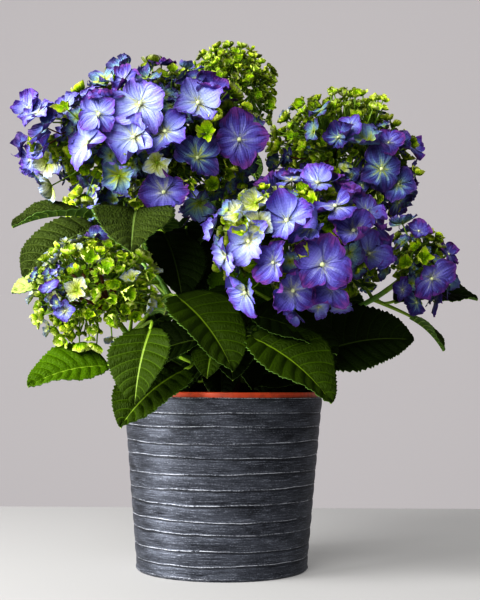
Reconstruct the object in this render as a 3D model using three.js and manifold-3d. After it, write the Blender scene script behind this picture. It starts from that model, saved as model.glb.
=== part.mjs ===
// A mophead hydrangea in its pot: a ridged zinc pot round a plastic nursery pot of peat, a short woody
// stem, nine green shoots, and on each shoot a mass of broad leaves and one bloom.
// Millimetres, +Z up. The origin is the centre of the pot's flat underside, and the plant faces -Y.
import * as THREE from "three";
import { mergeVertices } from "three/addons/utils/BufferGeometryUtils.js";
import Module from "manifold-3d";

const wasm = await Module();
wasm.setup();

// ---- Driving sizes ----

const MESH_GAP = 0.3; // left between pieces that touch

const zincPot = {
  height: 146,
  rimRadius: 85,
  footRadius: 72,
  wall: 1.2,
  floor: 2,
  bands: 11, // rolled bands, each ending in a low ridge
  ridge: 0.8,
  sides: 32,
};
const nurseryPot = {
  height: 148,
  rimRadius: 81.5,
  footRadius: 60,
  wall: 1.5,
  floor: 2,
  collar: 9, // height of the wider band under the rim
  step: 1.6, // how far the collar stands out
  sides: 32,
};
const peat = { top: 134, crown: 4, clearance: 0.9, sides: 24 };
const woodyStem = {
  height: 21,
  flareRadius: 17,
  neckRadius: 12,
  headRadius: 15.5, // of the knuckle that the shoots grow from
  sides: 12,
};
const shootSize = {
  rootRadius: 3.1,
  tipRadius: 2.2,
  ringRadius: 11.5, // of the ring of roots on the knuckle
  rise: 0.22, // share of its reach that a shoot heads straight up for
  arrive: 0.36, // and that it heads along its bloom's lean for
  sides: 6,
  steps: 5,
};
const leafSize = {
  widthShare: 0.76, // of the blade's length
  thickShare: 0.024, // of the blade's length, at its midrib
  fold: 14, // degrees that each half rises from the midrib
  sag: 34, // degrees that a blade turns down from foot to tip
  stalkRadius: 1.7,
  stations: [0.12, 0.42, 0.78], // shares of the blade's length that have a ring of points
};

// The rule for the seeded leaves: pairs up each shoot, each pair turned a quarter from the last.
const leafPairs = {
  first: 0.06, // share of the shoot from its first leaf to the bough below
  last: 0.92, // share of the shoot where the highest pair stands
  spacing: 25,
  length: 78,
  shorter: 0.05, // from each pair to the next
  stalk: 24,
  rise: 30, // degrees that a stalk rises from the shoot
  pitch: -40, // of the lowest pair
  lift: 9, // degrees from each pair to the next
  tries: 40,
};
const clearance = { leaf: 5, limb: 6, pot: 5, bloomShare: 1.08 };

const floretSize = {
  stalkRadius: 1.4,
  thickShare: 0.15, // of the floret's radius, at its middle
  cleft: 0.64, // how far out the clefts between petals are, and
  cleftLift: 0.45, // how high they stand, over the petals' tips
  footShare: 0.3, // where a stalk ends, over the bloom's half sizes
};
const bloomSize = { coreShare: 0.66, seatShare: 0.94, stemRadius: 2.4 };

// Each bloom: its centre, its half sizes along X, Y and Z, the way it leans, and its florets' number,
// radius, cup (rim height over radius) and rim points a petal. Florets cover it out to spread, in
// degrees from its lean. bare is the share of its shoot below the leaves, and turn the compass
// direction of the shoot's first seeded pair of leaves.
const blooms = {
  left: {
    centre: [-69, -40, 360], half: [108, 82, 71], lean: [0.05, -0.55, 1], spread: 127,
    florets: 42, radius: 19.5, cup: 0.28, rim: 3, bare: 0.3, turn: 70,
  },
  upper_right: {
    centre: [110, 26, 356], half: [72, 64, 70], lean: [0.35, -0.35, 1], spread: 122,
    florets: 30, radius: 18, cup: 0.4, rim: 3, bare: 0.3, turn: 100,
  },
  right: {
    centre: [164, -26, 256], half: [35, 36, 42], lean: [0.8, -0.5, 0.6], spread: 120,
    florets: 16, radius: 14, cup: 0.4, rim: 3, bare: 0.3, turn: 60,
  },
  front: {
    centre: [55, -93, 268], half: [84, 66, 62], lean: [0.1, -0.85, 0.8], spread: 116,
    florets: 30, radius: 20, cup: 0.22, rim: 3, bare: 0.3, turn: 0,
  },
  low_left: {
    centre: [-102, -84, 231], half: [54, 50, 46], lean: [-0.5, -0.7, 0.75], spread: 120,
    florets: 33, radius: 10.5, cup: 0.75, rim: 2, bare: 0.3, turn: 60,
  },
  back_left: {
    centre: [-103, 96, 316], half: [55, 54, 50], lean: [-0.5, 0.55, 0.9], spread: 115,
    florets: 18, radius: 18, cup: 0.3, rim: 2, bare: 0.3, turn: 10,
  },
  back: {
    centre: [9, 138, 322], half: [55, 54, 52], lean: [0.05, 0.7, 0.85], spread: 115,
    florets: 18, radius: 18, cup: 0.3, rim: 2, bare: 0.3, turn: 50,
  },
  back_right: {
    centre: [107, 118, 282], half: [52, 50, 48], lean: [0.6, 0.55, 0.75], spread: 115,
    florets: 17, radius: 17, cup: 0.35, rim: 2, bare: 0.3, turn: 0,
  },
  top: {
    centre: [4, 48, 424], half: [46, 46, 50], lean: [0.05, 0.1, 1], spread: 112,
    florets: 23, radius: 12, cup: 0.6, rim: 2, bare: 0.25, turn: 20,
  },
};

// The leaves that face the front, by shoot. Each: the blade's foot, its compass heading, its pitch,
// its roll and its length. Pairs set by the seeded rule fill the rest of the plant.
const frontLeaves = {
  left: [
    { foot: [-108, -64, 293], heading: -150, pitch: -12, roll: -12, length: 70 },
    { foot: [-110, -14, 290], heading: -160, pitch: -36, roll: -30, length: 78 },
    { foot: [-72, -72, 296], heading: -88, pitch: -31, roll: 0, length: 82 },
    { foot: [-51, -38, 283], heading: -62, pitch: -58, roll: 0, length: 70 },
    { foot: [-122, -4, 240], heading: -174, pitch: -6, roll: -35, length: 62 },
  ],
  low_left: [
    { foot: [-90, -90, 170], heading: -156, pitch: -14, roll: -30, length: 67 },
    { foot: [-56, -114, 199], heading: -112, pitch: -66, roll: 0, length: 64 },
    { foot: [-30, -88, 168], heading: -141, pitch: -36, roll: -22, length: 76 },
    { foot: [-18, -80, 192], heading: 176, pitch: -22, roll: -42, length: 60 },
    { foot: [-38, -84, 226], heading: -38, pitch: -46, roll: 18, length: 84 },
  ],
  front: [
    { foot: [20, -92, 194], heading: -28, pitch: -36, roll: 26, length: 88 },
    { foot: [22, -68, 212], heading: -14, pitch: -24, roll: 32, length: 78 },
    { foot: [4, -54, 195], heading: -86, pitch: -38, roll: 0, length: 58 },
    { foot: [6, -46, 238], heading: -96, pitch: -62, roll: 0, length: 58 },
    { foot: [-7, -80, 190], heading: -104, pitch: -50, roll: 0, length: 38 },
  ],
  right: [
    { foot: [72, -48, 179], heading: 6, pitch: 10, roll: 56, length: 90 },
    { foot: [154, 38, 232], heading: 2, pitch: 2, roll: 28, length: 78 },
    { foot: [162, -4, 216], heading: -18, pitch: -46, roll: 0, length: 42 },
  ],
};

// ---- Shared helpers ----

const rad = THREE.MathUtils.degToRad;
const lerp = THREE.MathUtils.lerp;
const point = (xyz) => new THREE.Vector3(...xyz);
const along = (from, ahead, distance) => from.clone().addScaledVector(ahead, distance);
const range = (count) => Array.from({ length: count }, (_, i) => i);

// The same stream of numbers from 0 to 1 for the same seed.
function seeded(seed) {
  let state = seed;
  return () => {
    state = (state * 48271) % 2147483647;
    return state / 2147483647;
  };
}

// A closed skin from a first point, over rings that run anticlockwise about the way of travel, to a
// last point. A ring has as many points as the next one, or a multiple of them.
function loft(first, rings, last) {
  const points = [first, ...rings.flat(), last];
  const faces = [];
  range(rings[0].length).forEach((i) => faces.push(0, 1 + ((i + 1) % rings[0].length), 1 + i));
  let start = 1;
  rings.slice(1).forEach((ring, r) => {
    const many = rings[r].length;
    const nextStart = start + many;
    for (let i = 0; i < many; i++) {
      const here = Math.floor((i * ring.length) / many);
      const next = Math.floor(((i + 1) * ring.length) / many);
      const after = start + ((i + 1) % many);
      faces.push(start + i, after, nextStart + here);
      if (next !== here) faces.push(after, nextStart + (next % ring.length), nextStart + here);
    }
    start = nextStart;
  });
  const size = rings.at(-1).length;
  range(size).forEach((i) => faces.push(points.length - 1, start + i, start + ((i + 1) % size)));
  return new THREE.BufferGeometry().setFromPoints(points).setIndex(faces);
}

function circle(middle, side, ahead, radius, count) {
  const other = new THREE.Vector3().crossVectors(ahead, side);
  return range(count).map((i) => {
    const angle = (2 * Math.PI * i) / count;
    return along(along(middle, side, radius * Math.cos(angle)), other, radius * Math.sin(angle));
  });
}

// A round limb along a curve, between two shares of it, with a flat cap at each end.
function limb(curve, from, to, radiusAt, sides, steps) {
  const side = new THREE.Vector3(0.31, 0.95, 0.07);
  const rings = range(steps + 1).map((i) => {
    const share = lerp(from, to, i / steps);
    const ahead = curve.getTangent(share);
    side.addScaledVector(ahead, -side.dot(ahead)).normalize();
    return circle(curve.getPoint(share), side, ahead, radiusAt(share), sides);
  });
  return loft(curve.getPoint(from), rings, curve.getPoint(to));
}

// A profile of [radius, height] pairs turned about the vertical axis.
function turned(profile, sides) {
  const outline = profile.map(([radius, height]) => new THREE.Vector2(radius, height));
  return new THREE.LatheGeometry(outline, sides).rotateX(Math.PI / 2);
}

function solidOf(geometry) {
  const bare = geometry.clone();
  bare.deleteAttribute("normal");
  bare.deleteAttribute("uv");
  const merged = mergeVertices(bare, 1e-4);
  return new wasm.Manifold(
    new wasm.Mesh({
      numProp: 3,
      vertProperties: merged.attributes.position.array,
      triVerts: new Uint32Array(merged.index.array),
    }),
  );
}

// The shapes joined into one solid. A scrap that touches nothing is dropped.
function fused(geometries) {
  const whole = geometries.map(solidOf).reduce((sum, next) => sum.add(next));
  const [largest] = whole.decompose().sort((a, b) => b.volume() - a.volume());
  const mesh = largest.getMesh();
  return new THREE.BufferGeometry()
    .setAttribute("position", new THREE.BufferAttribute(mesh.vertProperties, 3))
    .setIndex(new THREE.BufferAttribute(mesh.triVerts, 1));
}

const plant = new THREE.Group();

function addNode(name, geometry, look) {
  const mesh = new THREE.Mesh(geometry, new THREE.MeshStandardMaterial(look));
  mesh.name = name;
  plant.add(mesh);
}

// ---- Pots and peat ----

// Height of the nursery pot's underside, which stands on the zinc pot's floor.
const nurseryFoot = zincPot.floor + MESH_GAP;

function zincRadius(height) {
  return lerp(zincPot.footRadius, zincPot.rimRadius, height / zincPot.height);
}

function zincPotShape() {
  const { height, wall, floor, bands, ridge, sides } = zincPot;
  const profile = [[0, 0], [zincRadius(0), 0]];
  for (let band = 1; band <= bands; band++) {
    const z = (height * band) / (bands + 1);
    profile.push([zincRadius(z) + ridge, z], [zincRadius(z), z + ridge]);
  }
  profile.push([zincRadius(height) + ridge, height], [zincRadius(height) - wall, height]);
  profile.push([zincRadius(floor) - wall, floor], [0, floor]);
  return turned(profile, sides);
}

// The nursery pot's outer radius below its collar.
function nurseryRadius(z) {
  const { height, rimRadius, footRadius, collar, step } = nurseryPot;
  return lerp(footRadius, rimRadius - step, (z - nurseryFoot) / (height - collar));
}

function nurseryPotShape() {
  const { height, rimRadius, wall, floor, collar, step, sides } = nurseryPot;
  const top = nurseryFoot + height;
  const underCollar = top - collar;
  const insideFloor = nurseryFoot + floor;
  const profile = [
    [0, nurseryFoot],
    [nurseryRadius(nurseryFoot), nurseryFoot],
    [nurseryRadius(underCollar), underCollar],
    [rimRadius, underCollar],
    [rimRadius, top],
    [rimRadius - step - wall, top],
    [rimRadius - step - wall, underCollar],
    [nurseryRadius(insideFloor) - wall, insideFloor],
    [0, insideFloor],
  ];
  return turned(profile, sides);
}

function peatShape() {
  const { top, crown, sides } = peat;
  const foot = nurseryFoot + nurseryPot.floor + MESH_GAP;
  const radiusAt = (z) => nurseryRadius(z) - nurseryPot.wall - peat.clearance;
  const profile = [
    [0, foot],
    [radiusAt(foot), foot],
    [radiusAt(top), top],
    [woodyStem.flareRadius + 2, top + crown],
    [0, top + crown],
  ];
  return turned(profile, sides);
}

addNode("zinc_pot", zincPotShape(), { color: 0x3c4048, roughness: 0.55, metalness: 0.6 });
addNode("nursery_pot", nurseryPotShape(), { color: 0xb0452c, roughness: 0.5 });
addNode("peat", peatShape(), { color: 0x241811, roughness: 1 });

// ---- Woody stem and shoots ----

const stemFoot = peat.top + peat.crown + MESH_GAP;
const stemTop = stemFoot + woodyStem.height;

// A stub that flares at the peat, narrows, and swells into its knuckle.
function woodyStemShape() {
  const { height, flareRadius, neckRadius, headRadius, sides } = woodyStem;
  const profile = [
    [0, stemFoot],
    [flareRadius, stemFoot],
    [neckRadius, lerp(stemFoot, stemTop, 0.35)],
    [headRadius, lerp(stemFoot, stemTop, 0.8)],
    [headRadius, stemTop],
    [0, stemTop],
  ];
  return turned(profile, sides);
}

// How far a bloom reaches from its centre in a direction.
function bloomReach({ half }, ahead) {
  return 1 / ahead.clone().divide(point(half)).length();
}

// From a root on the knuckle straight up, then over to the seat under its bloom.
function shootCurve(bloom, root) {
  const lean = point(bloom.lean).normalize();
  const seat = along(point(bloom.centre), lean, -bloomSize.seatShare * bloomReach(bloom, lean));
  const reach = root.distanceTo(seat);
  const rise = along(root, new THREE.Vector3(0, 0, 1), shootSize.rise * reach);
  return new THREE.CubicBezierCurve3(root, rise, along(seat, lean, -shootSize.arrive * reach), seat);
}

const shootRadius = (share) => lerp(shootSize.rootRadius, shootSize.tipRadius, share);

// The top bloom's shoot grows from the middle of the knuckle. The others ring it, in compass order.
const compass = (name) => Math.atan2(blooms[name].centre[1], blooms[name].centre[0]);
const ring = Object.keys(blooms).filter((name) => name !== "top");
ring.sort((a, b) => compass(a) - compass(b));
const shoots = {};
for (const [name, bloom] of Object.entries(blooms)) {
  const angle = compass(ring[0]) + (2 * Math.PI * ring.indexOf(name)) / ring.length;
  const out = name === "top" ? 0 : shootSize.ringRadius;
  const root = new THREE.Vector3(out * Math.cos(angle), out * Math.sin(angle), stemTop + MESH_GAP);
  shoots[name] = shootCurve(bloom, root);
}

addNode("woody_stem", woodyStemShape(), { color: 0x6b5236, roughness: 0.9 });
for (const [name, curve] of Object.entries(shoots)) {
  const bough = limb(curve, 0, blooms[name].bare, shootRadius, shootSize.sides, shootSize.steps);
  addNode(`shoot_${name}`, bough, { color: 0x5c7a2e, roughness: 0.6 });
}

// ---- Leaves ----

// The half width of an ovate blade over its greatest, by share of its length.
function ovate(share) {
  return Math.sin(Math.PI * share ** 0.8) ** 0.8;
}

// A point of a blade. share runs from its foot to its tip, across from -1 to 1 between its edges,
// and lift is the distance from its sheet. The midrib is an arc whose mean pitch is the leaf's.
function bladePoint(leaf, share, across, lift = 0) {
  const heading = rad(leaf.heading);
  const roll = rad(leaf.roll);
  const sag = rad(leafSize.sag);
  const fold = rad(leafSize.fold);
  const first = rad(leaf.pitch) + sag / 2;
  const pitch = first - sag * share;
  const out = (leaf.length * (Math.sin(first) - Math.sin(pitch))) / sag;
  const up = (leaf.length * (Math.cos(pitch) - Math.cos(first))) / sag;
  const bearing = new THREE.Vector3(Math.cos(heading), Math.sin(heading), 0);
  const level = new THREE.Vector3(-Math.sin(heading), Math.cos(heading), 0);
  const ahead = bearing.clone().multiplyScalar(Math.cos(pitch)).setZ(Math.sin(pitch));
  const upright = new THREE.Vector3().crossVectors(ahead, level);
  const side = level.multiplyScalar(Math.cos(roll)).addScaledVector(upright, Math.sin(roll));
  const normal = new THREE.Vector3().crossVectors(ahead, side);
  const half = 0.5 * leafSize.widthShare * leaf.length * ovate(share) * across;
  return point(leaf.foot)
    .addScaledVector(bearing, out)
    .add(new THREE.Vector3(0, 0, up))
    .addScaledVector(side, half * Math.cos(fold))
    .addScaledVector(normal, Math.abs(half) * Math.sin(fold) + lift);
}

// A leaf with its stalk, as one skin from the middle of its shoot to its tip.
function leafShape(leaf, curve) {
  const root = curve.getPoint(leaf.node);
  const foot = point(leaf.foot);
  const ahead = foot.clone().sub(root).normalize();
  const side = bladePoint(leaf, 0.5, 1).sub(bladePoint(leaf, 0.5, -1));
  side.addScaledVector(ahead, -side.dot(ahead)).normalize();
  const stalk = [root, foot].map((middle) => circle(middle, side, ahead, leafSize.stalkRadius, 4));
  const lift = (leafSize.thickShare * leaf.length) / 2;
  const blade = leafSize.stations.map((share) => [
    bladePoint(leaf, share, 1),
    bladePoint(leaf, share, 0, lift),
    bladePoint(leaf, share, -1),
    bladePoint(leaf, share, 0, -lift),
  ]);
  return loft(root, [...stalk, ...blade], bladePoint(leaf, 1, 0));
}

// Points that stand for a blade, for its stalk and for the shoots in the tests for room.
function bladeSamples(leaf) {
  return range(9).flatMap((i) => range(7).map((j) => bladePoint(leaf, i / 8, (j - 3) / 3)));
}

function stalkSamples(leaf, curve) {
  const root = curve.getPoint(leaf.node);
  return [0.4, 0.6, 0.8].map((share) => root.clone().lerp(point(leaf.foot), share));
}

const shootSamples = {};
for (const [name, curve] of Object.entries(shoots)) {
  shootSamples[name] = range(41).map((i) => curve.getPoint(i / 40));
}

function apart(some, others, distance) {
  return some.every((p) => others.every((q) => p.distanceTo(q) > distance));
}

function outsideBloom({ centre, half }, p) {
  return p.clone().sub(point(centre)).divide(point(half)).length() > clearance.bloomShare;
}

function outsidePot(p) {
  const besidePot = Math.hypot(p.x, p.y) > zincPot.rimRadius + clearance.pot;
  return besidePot || p.z > stemFoot + clearance.pot;
}

// Whether there is room for a leaf: outside the blooms and the pot, and clear of the shoots and of
// the leaves that are already placed.
function hasRoom(leaf, owner, placed) {
  const blade = bladeSamples(leaf);
  const whole = [...blade, ...stalkSamples(leaf, shoots[owner])];
  return (
    whole.every((p) => outsidePot(p) && Object.values(blooms).every((bloom) => outsideBloom(bloom, p))) &&
    Object.entries(shootSamples).every(([name, shoot]) =>
      apart(name === owner ? blade : whole, shoot, clearance.limb),
    ) &&
    placed.every((other) => apart(whole, other, clearance.leaf))
  );
}

// The share of a shoot that a blade's foot is best reached from, which is not above it.
function nearestNode(name, foot) {
  const first = blooms[name].bare + leafPairs.first;
  const cost = (share) => {
    const root = shoots[name].getPoint(share);
    return root.distanceTo(foot) + Math.max(0, root.z - foot.z);
  };
  const shares = range(9).map((i) => lerp(first, leafPairs.last, i / 8));
  return shares.reduce((best, share) => (cost(share) < cost(best) ? share : best));
}

const leaves = {};
const placed = [];

function place(name, leaf) {
  leaves[name].push(leaf);
  placed.push([...bladeSamples(leaf), ...stalkSamples(leaf, shoots[name])]);
}

for (const name of Object.keys(blooms)) {
  leaves[name] = [];
  for (const leaf of frontLeaves[name] ?? []) {
    place(name, { ...leaf, node: nearestNode(name, point(leaf.foot)) });
  }
}

// One try at a seeded leaf: the later the try, the looser its turn and droop and the smaller it is.
function seededLeaf(name, node, pair, turn, attempt, random) {
  const { length, shorter, stalk, rise, pitch, lift } = leafPairs;
  const loose = 1 + attempt / 4;
  const heading = turn + (random() - 0.5) * 24 * loose;
  const reach = stalk * (0.8 + 0.6 * random());
  const out = reach * Math.cos(rad(rise));
  const foot = new THREE.Vector3(out * Math.cos(rad(heading)), out * Math.sin(rad(heading)), 0);
  foot.setZ(reach * Math.sin(rad(rise))).add(shoots[name].getPoint(node));
  return {
    foot: foot.toArray(),
    heading,
    pitch: pitch + lift * pair + (random() - 0.5) * 20 * loose,
    roll: (random() - 0.5) * 24,
    length: length * (1 - shorter * pair) * (0.95 + 0.15 * random() - 0.06 * loose),
    node,
  };
}

// A shoot that has leaves on the front keeps its seeded ones to the sides and back. A leaf without
// room is left out.
Object.keys(blooms).forEach((name, number) => {
  const random = seeded(7001 + 131 * number);
  const { bare, turn } = blooms[name];
  const count = Math.round((shoots[name].getLength() * (leafPairs.last - bare)) / leafPairs.spacing);
  for (let pair = 0; pair < count; pair++) {
    const node = lerp(bare + leafPairs.first, leafPairs.last, pair / (count - 1));
    for (const opposite of [0, 180]) {
      for (let attempt = 0; attempt < leafPairs.tries; attempt++) {
        const leaf = seededLeaf(name, node, pair, turn + 90 * pair + opposite, attempt, random);
        const facesFront = frontLeaves[name] && Math.sin(rad(leaf.heading)) < -0.1;
        if (facesFront || !hasRoom(leaf, name, placed)) continue;
        place(name, leaf);
        break;
      }
    }
  }
});

for (const [name, curve] of Object.entries(shoots)) {
  const start = blooms[name].bare + MESH_GAP / curve.getLength();
  const stem = limb(curve, start, 1, shootRadius, shootSize.sides, shootSize.steps);
  const shapes = leaves[name].map((leaf) => leafShape(leaf, curve));
  addNode(`leaves_${name}`, fused([stem, ...shapes]), { color: 0x2f5a1c, roughness: 0.5 });
}

// ---- Blooms ----

// Unit directions spread evenly over a dome about the bloom's lean, in a spiral by the golden angle.
function domeDirections(bloom) {
  const goldenAngle = Math.PI * (3 - Math.sqrt(5));
  const up = new THREE.Vector3(0, 0, 1);
  const toLean = new THREE.Quaternion().setFromUnitVectors(up, point(bloom.lean).normalize());
  return range(bloom.florets).map((i) => {
    const height = 1 - ((i + 0.5) / bloom.florets) * (1 - Math.cos(rad(bloom.spread)));
    const across = Math.sqrt(1 - height * height);
    const turn = i * goldenAngle;
    const direction = new THREE.Vector3(across * Math.cos(turn), across * Math.sin(turn), height);
    return direction.applyQuaternion(toLean);
  });
}

// A floret: four petals round a shallow cup, on a stalk that tapers to its foot in the bloom's core.
function floretShape(bloom, direction, random) {
  const { stalkRadius, thickShare, cleft, cleftLift, footShare } = floretSize;
  const half = point(bloom.half);
  const centre = point(bloom.centre);
  const onBloom = (share) => direction.clone().multiply(half).multiplyScalar(share).add(centre);
  const jitter = () => new THREE.Vector3(random() - 0.5, random() - 0.5, random() - 0.5);
  const radius = bloom.radius * (0.85 + 0.3 * random());
  const head = onBloom(0.97 - (0.2 * radius) / bloomReach(bloom, direction) - 0.05 * random());
  const outward = direction.clone().divide(half).normalize();
  const normal = outward.addScaledVector(jitter(), 0.5).normalize();
  const inward = normal.clone().negate();
  const side = jitter().cross(normal).normalize();
  const rimCount = 4 * bloom.rim;
  const neckCount = rimCount % 3 === 0 ? 3 : 4;
  const rim = circle(head, side, inward, radius, rimCount).map((tip, i) => {
    const isCleft = i % bloom.rim === 0;
    const out = head.clone().lerp(tip, isCleft ? cleft : 1);
    return along(out, normal, radius * bloom.cup * (isCleft ? cleftLift : 1));
  });
  const neck = circle(along(head, inward, thickShare * radius), side, inward, stalkRadius, neckCount);
  return loft(head, [rim, neck], onBloom(footShare));
}

function bloomShape(bloom, curve, random) {
  const core = new THREE.SphereGeometry(bloomSize.coreShare, 8, 6);
  core.scale(...bloom.half).translate(...bloom.centre);
  const seat = along(curve.getPoint(1), curve.getTangent(1), MESH_GAP);
  const line = new THREE.LineCurve3(seat, point(bloom.centre));
  const stem = limb(line, 0, 1, () => bloomSize.stemRadius, 6, 1);
  const florets = domeDirections(bloom).map((direction) => floretShape(bloom, direction, random));
  return fused([core, stem, ...florets]);
}

const petalColours = {
  left: 0x6f6cc4,
  upper_right: 0x6e8a6a,
  right: 0x4a4a8c,
  front: 0x5a50b8,
  low_left: 0x9fc42c,
  back_left: 0x6a66bc,
  back: 0x7a7cc0,
  back_right: 0x5c5aa8,
  top: 0x9fbf2f,
};
Object.entries(blooms).forEach(([name, bloom], number) => {
  const shape = bloomShape(bloom, shoots[name], seeded(4001 + 977 * number));
  addNode(`bloom_${name}`, shape, { color: petalColours[name], roughness: 0.6 });
});

export default plant;
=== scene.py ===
import bpy
import numpy as np
from math import atan2, cos, hypot, pi, radians, sin, sqrt
from mathutils import Matrix, Vector
from numpy.linalg import norm


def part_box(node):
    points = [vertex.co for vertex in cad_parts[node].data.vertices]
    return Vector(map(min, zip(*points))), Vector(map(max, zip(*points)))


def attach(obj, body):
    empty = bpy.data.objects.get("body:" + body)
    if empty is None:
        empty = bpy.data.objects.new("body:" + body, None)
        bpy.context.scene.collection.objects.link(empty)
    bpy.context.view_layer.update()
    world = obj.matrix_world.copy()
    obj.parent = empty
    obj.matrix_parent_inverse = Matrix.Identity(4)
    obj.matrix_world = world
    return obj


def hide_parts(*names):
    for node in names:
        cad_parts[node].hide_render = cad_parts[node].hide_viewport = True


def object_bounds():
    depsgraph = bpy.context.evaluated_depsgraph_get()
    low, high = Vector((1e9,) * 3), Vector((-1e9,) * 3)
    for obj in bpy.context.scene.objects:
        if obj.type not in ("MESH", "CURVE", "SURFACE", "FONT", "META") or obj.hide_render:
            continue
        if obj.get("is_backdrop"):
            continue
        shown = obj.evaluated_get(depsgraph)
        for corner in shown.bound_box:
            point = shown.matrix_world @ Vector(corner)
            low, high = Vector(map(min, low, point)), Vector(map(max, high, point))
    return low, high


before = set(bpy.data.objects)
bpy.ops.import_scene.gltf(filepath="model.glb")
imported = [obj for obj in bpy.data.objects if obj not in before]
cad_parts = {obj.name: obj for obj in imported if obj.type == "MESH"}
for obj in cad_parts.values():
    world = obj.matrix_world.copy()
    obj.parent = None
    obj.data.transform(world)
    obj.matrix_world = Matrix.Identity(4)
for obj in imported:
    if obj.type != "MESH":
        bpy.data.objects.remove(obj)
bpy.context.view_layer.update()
scene = bpy.context.scene
MM = 0.001  # shapes are worked out in millimetres, and made in metres


# ---- Studio ----
# A white table top whose back edge shows, with a light grey wall behind it. Three soft lamps stand
# high and low at the left and in front, and a broad weak one at the right keeps the shadows open.
class Wire:
    """A value, colour or vector in a material. Arithmetic on wires adds Math nodes."""

    def __init__(self, look, socket):
        self.look = look
        self.socket = socket

    def maths(self, operation, first, second):
        return self.look.node("Math", {"operation": operation}, {0: first, 1: second})

    def __add__(self, other):
        return self.maths("ADD", self, other)

    def __mul__(self, other):
        return self.maths("MULTIPLY", self, other)

    def __pow__(self, other):
        return self.maths("POWER", self, other)

    __radd__ = __add__
    __rmul__ = __mul__


class Look:
    """A material: a Principled shader, and what varies it over the surface."""

    def __init__(self, name, colour, roughness, sheen=0.5):
        self.material = bpy.data.materials.new(name)
        self.material.use_nodes = True
        self.tree = self.material.node_tree
        self.shader = self.tree.nodes["Principled BSDF"]
        self.vary(**{"Base Color": colour, "Specular IOR Level": sheen}, Roughness=roughness)

    def vary(self, **inputs):
        for name, value in inputs.items():
            self.feed(self.shader.inputs[name], value)

    def feed(self, socket, value):
        if isinstance(value, Wire):
            self.tree.links.new(value.socket, socket)
        else:
            socket.default_value = paint(value) if isinstance(value, str) else value

    def node(self, kind, settings, inputs, output=0):
        made = self.tree.nodes.new("ShaderNode" + kind)
        for name, value in settings.items():
            setattr(made, name, value)
        for name, value in inputs.items():
            self.feed(made.inputs[name], value)
        return Wire(self, made.outputs[output])

    def squeezed(self, spot, step, stretch):
        """A place counted in steps, each stretched along the axes."""
        scale = [1 / (step * s) for s in stretch]
        return self.node("VectorMath", {"operation": "MULTIPLY"}, {0: spot, 1: scale})

    def chart(self, stretch=(1, 1, 1)):
        """Where the surface is on its leaf or petal laid flat."""
        spot = self.node("Attribute", {"attribute_name": "chart"}, {}, "Vector")
        return self.squeezed(spot, 1, stretch)

    def noise(self, size, detail=3, rough=0.55, stretch=(1, 1, 1), where=None):
        """Soft random spots of a size in millimetres, or on the chart if that is given."""
        where = where or self.squeezed(self.node("TexCoord", {}, {}, "Object"), MM, stretch)
        inputs = {"Vector": where, "Scale": 1 / size, "Detail": detail, "Roughness": rough}
        return self.node("TexNoise", {}, inputs)

    def between(self, value, low, high):
        """0 where the value is under low, 1 where it is over high."""
        inputs = {"Value": value, "From Min": low, "From Max": high}
        return self.node("MapRange", {"clamp": True}, inputs)

    def mix(self, share, one, other):
        return self.node("Mix", {"data_type": "RGBA"}, {0: share, 6: one, 7: other}, 2)

    def mottle(self, spots, low, high, one, other):
        """Colours from one to the other, as the spots go from low to high."""
        self.vary(**{"Base Color": self.mix(self.between(spots, low, high), one, other)})

    def relief(self, height, depth):
        """Bumps as deep as depth, in millimetres, where height goes from 0 to 1."""
        self.vary(Normal=self.node("Bump", {}, {"Height": height, "Distance": depth * MM}))


def paint(code):
    """A colour as the shaders take it, from its six-figure code."""
    levels = [int(code[i:i + 2], 16) / 255 for i in (0, 2, 4)]
    return [((c + 0.055) / 1.055) ** 2.4 if c > 0.04 else c / 12.92 for c in levels] + [1]


def put_in(name, data):
    made = bpy.data.objects.new(name, data)
    scene.collection.objects.link(made)
    return made


def stage_plane(name, corners, look, glow, strength):
    """A plane of the studio, which glows so that the shadows on it stay pale."""
    look.vary(**{"Emission Color": glow, "Emission Strength": strength})
    mesh = bpy.data.meshes.new(name)
    mesh.from_pydata(corners, [], [(0, 1, 2, 3)])
    mesh.materials.append(look.material)
    put_in(name, mesh)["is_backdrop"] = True


table_back = 0.454
wall_back = 3.2
table_corners = [(-3, -2, 0), (3, -2, 0), (3, table_back, 0), (-3, table_back, 0)]
wall_corners = [(-6, wall_back, -3), (6, wall_back, -3), (6, wall_back, 4), (-6, wall_back, 4)]
stage_plane("table_top", table_corners, Look("table_white", "a09f9e", 0.7, 0.05), "e4e3e2", 0.21)
stage_plane("wall", wall_corners, Look("wall_grey", "8c898a", 0.9), "c3bfc0", 0.58)

scene.world = bpy.data.worlds.new("studio")
scene.world.use_nodes = True
sky = scene.world.node_tree.nodes["Background"].inputs
sky["Color"].default_value = paint("c9c8ca")
sky["Strength"].default_value = 0.2
scene.view_settings.view_transform = "Standard"
scene.view_settings.look = "High Contrast"


def add_lamp(name, place, target, width, power):
    lamp = bpy.data.lights.new(name, "AREA")
    lamp.size = width
    lamp.energy = power
    made = put_in(name, lamp)
    made.location = place
    back = made.location - target
    made.rotation_euler = back.to_track_quat("Z", "Y").to_euler()


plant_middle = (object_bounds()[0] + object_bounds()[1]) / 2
add_lamp("key", (-1.3, -0.85, 1.2), plant_middle, 0.7, 29)
add_lamp("front", (-0.6, -1.6, 1.0), plant_middle, 0.9, 21)
add_lamp("side", (-1.4, -0.42, 0.3), plant_middle - Vector((0, 0, 0.15)), 0.7, 20)
add_lamp("fill", (1.6, -1.6, 0.7), plant_middle, 1.6, 2)

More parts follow.
